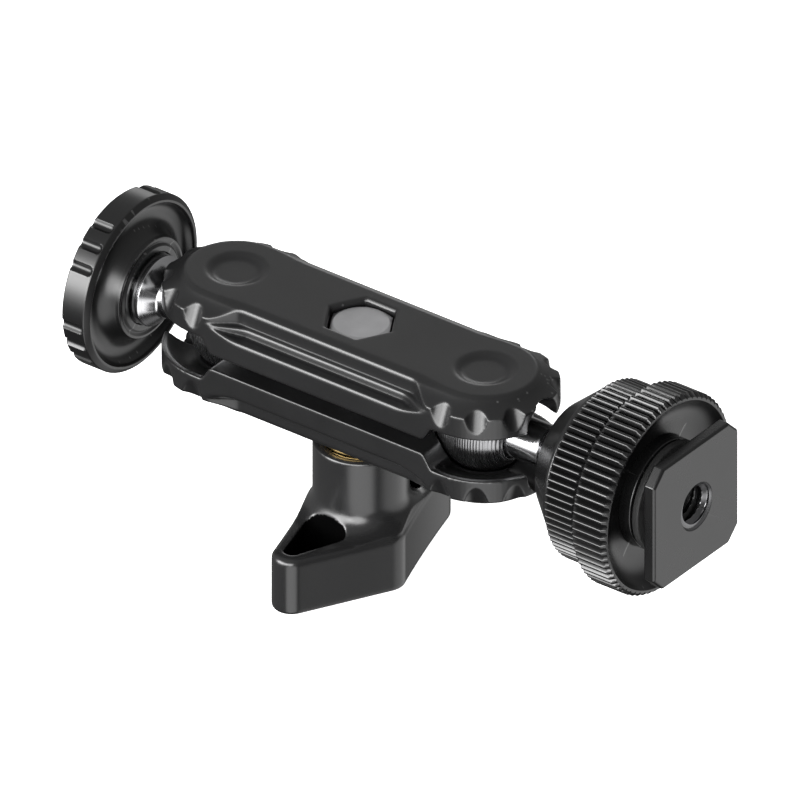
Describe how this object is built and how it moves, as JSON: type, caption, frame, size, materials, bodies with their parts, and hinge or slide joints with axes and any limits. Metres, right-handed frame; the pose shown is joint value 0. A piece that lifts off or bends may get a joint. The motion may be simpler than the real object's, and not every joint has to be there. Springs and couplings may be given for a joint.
{
  "type": "double ball-joint arm",
  "caption": "Short clamping arm with two ball joints, a wing knob, a 1/4 inch screw with a lock disc, and an accessory-shoe foot with a knurled lock wheel.",
  "frame": {"origin": "at the centre of the accessory-shoe foot's outer face, on the line of the two stems", "axes": "+X along the arm towards the accessory-shoe foot, +Z along the clamp bolt from the wing knob to the hexagon head, +Y across the arm"},
  "size_m": [0.101, 0.0342, 0.0437],
  "materials": {
    "jaw_black": "satin black anodised, finely blasted",
    "bolt_steel": "satin",
    "knob_black": "satin black",
    "insert_brass": "turned",
    "ball_steel": "fine turned rings",
    "stem_chrome": "polished",
    "disc_black": "satin black anodised",
    "pad_rubber": "matte",
    "shoe_black": "satin black anodised"
  },
  "bodies": {
    "frame": {"upper_jaw": "jaw_black", "clamp_bolt": "bolt_steel", "jaw_spring": "bolt_steel", "retaining_ring": "bolt_steel"},
    "lower_jaw_body": {"lower_jaw": "jaw_black", "thrust_washer": "bolt_steel"},
    "knob": {"wing_knob": "knob_black", "knob_insert": "insert_brass", "knob_cap": "knob_black"},
    "left_ball": {"ball_left": "ball_steel"},
    "left_stem": {"stem_left": "stem_chrome"},
    "disc_carrier": {"disc_pad": "pad_rubber"},
    "disc": {"lock_disc": "disc_black"},
    "right_ball": {"ball_right": "ball_steel"},
    "right_stem": {"stem_right": "stem_chrome", "shoe_grip": "shoe_black", "shoe_post": "shoe_black", "shoe_foot": "shoe_black"},
    "washer_carrier": {"shoe_washer": "pad_rubber"},
    "wheel": {"shoe_lock_wheel": "shoe_black"}
  },
  "joints": [
    {"name": "knob_turn", "type": "hinge", "parent": "lower_jaw_body", "child": "knob", "pos_m": [-0.0554, 0, -0.0103], "axis": [0, 0, -1], "range_deg": [0, 450]},
    {"name": "jaw_slide", "type": "slide", "parent": "frame", "child": "lower_jaw_body", "axis": [0, 0, -1], "range_m": [0, 0.00102]},
    {"name": "left_swing", "type": "hinge", "parent": "frame", "child": "left_ball", "pos_m": [-0.0759, 0, 0], "axis": [0, 0, 1], "range_deg": [-90, 90]},
    {"name": "left_roll", "type": "hinge", "parent": "left_ball", "child": "left_stem", "pos_m": [-0.0759, 0, 0], "axis": [1, 0, 0], "continuous": true},
    {"name": "lock_disc_turn", "type": "hinge", "parent": "disc_carrier", "child": "disc", "pos_m": [-0.0955, 0, 0], "axis": [-1, 0, 0], "range_deg": [0, 726]},
    {"name": "lock_disc_travel", "type": "slide", "parent": "left_stem", "child": "disc_carrier", "axis": [-1, 0, 0], "range_m": [0, 0.00254]},
    {"name": "right_swing", "type": "hinge", "parent": "frame", "child": "right_ball", "pos_m": [-0.0349, 0, 0], "axis": [0, 0, 1], "range_deg": [-90, 90]},
    {"name": "right_roll", "type": "hinge", "parent": "right_ball", "child": "right_stem", "pos_m": [-0.0349, 0, 0], "axis": [1, 0, 0], "continuous": true},
    {"name": "lock_wheel_turn", "type": "hinge", "parent": "washer_carrier", "child": "wheel", "pos_m": [-0.0103, 0, 0], "axis": [1, 0, 0], "range_deg": [0, 540]},
    {"name": "shoe_washer_travel", "type": "slide", "parent": "right_stem", "child": "washer_carrier", "axis": [1, 0, 0], "range_m": [0, 0.00155]}
  ],
  "couplings": [
    {"joint": "jaw_slide", "follows": "knob_turn", "m_per_rad": 0.00012732},
    {"joint": "lock_disc_turn", "follows": "lock_disc_travel", "rad_per_m": 4947.4},
    {"joint": "shoe_washer_travel", "follows": "lock_wheel_turn", "m_per_rad": 0.00015915}
  ]
}
